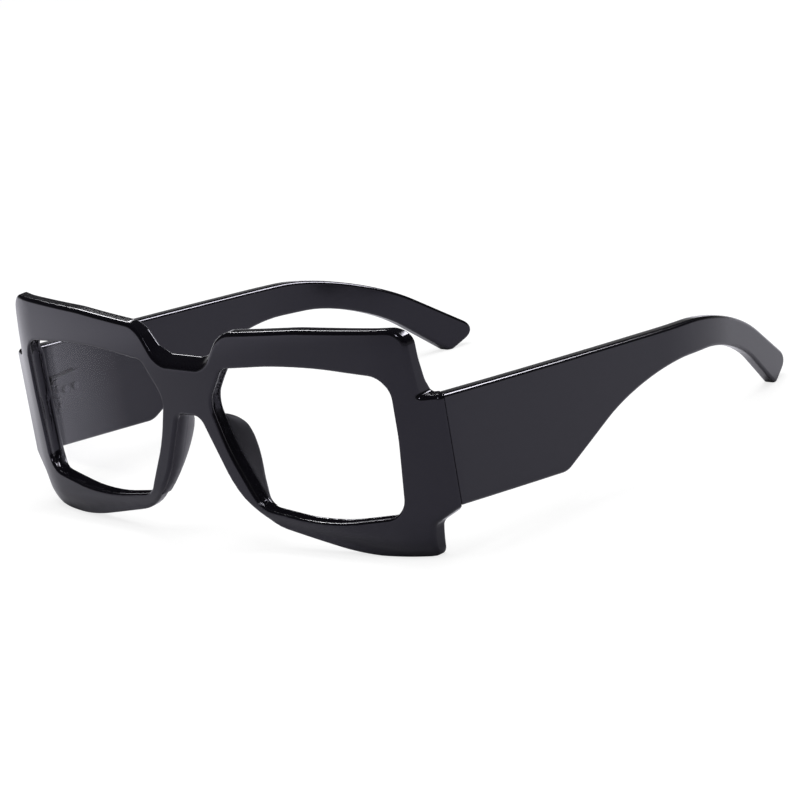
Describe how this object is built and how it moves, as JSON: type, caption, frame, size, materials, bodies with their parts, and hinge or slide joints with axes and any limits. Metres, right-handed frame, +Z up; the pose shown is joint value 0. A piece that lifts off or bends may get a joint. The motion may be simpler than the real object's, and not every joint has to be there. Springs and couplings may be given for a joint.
{
  "type": "reading glasses",
  "caption": "Oversized rectangular reading glasses with a thick glossy black front, clear lenses and broad folding temples.",
  "frame": {"origin": "middle of the box around the open glasses, on the surface that they stand on", "axes": "+X to the wearer's left, +Y from the front to the temple tips, +Z up, with the temples open"},
  "size_m": [0.1498, 0.1598, 0.0574],
  "materials": {
    "black_plastic": "polished",
    "black_pad_plastic": "satin",
    "clear_lens": "clear, polished",
    "hinge_black_steel": "black plated",
    "screw_black_steel": "turned, black plated"
  },
  "bodies": {
    "front": {"front_frame": "black_plastic", "lens_left": "clear_lens", "nose_pad_left": "black_pad_plastic", "hinge_front_leaf_left": "hinge_black_steel", "hinge_screw_left": "screw_black_steel", "front_leaf_screw_left_1": "screw_black_steel", "front_leaf_screw_left_2": "screw_black_steel", "lens_right": "clear_lens", "nose_pad_right": "black_pad_plastic", "hinge_front_leaf_right": "hinge_black_steel", "hinge_screw_right": "screw_black_steel", "front_leaf_screw_right_1": "screw_black_steel", "front_leaf_screw_right_2": "screw_black_steel"},
    "temple_left": {"temple_left": "black_plastic", "hinge_temple_leaf_left": "hinge_black_steel", "temple_leaf_screw_left_1": "screw_black_steel", "temple_leaf_screw_left_2": "screw_black_steel"},
    "temple_right": {"temple_right": "black_plastic", "hinge_temple_leaf_right": "hinge_black_steel", "temple_leaf_screw_right_1": "screw_black_steel", "temple_leaf_screw_right_2": "screw_black_steel"}
  },
  "joints": [
    {"name": "temple_left_fold", "type": "hinge", "parent": "front", "child": "temple_left", "pos_m": [0.0686, -0.06217, 0.02702], "axis": [0, -0.0257, 0.9997], "range_deg": [0, 85.4]},
    {"name": "temple_right_fold", "type": "hinge", "parent": "front", "child": "temple_right", "pos_m": [-0.0686, -0.06217, 0.02702], "axis": [0, 0.0257, -0.9997], "range_deg": [0, 75]}
  ]
}
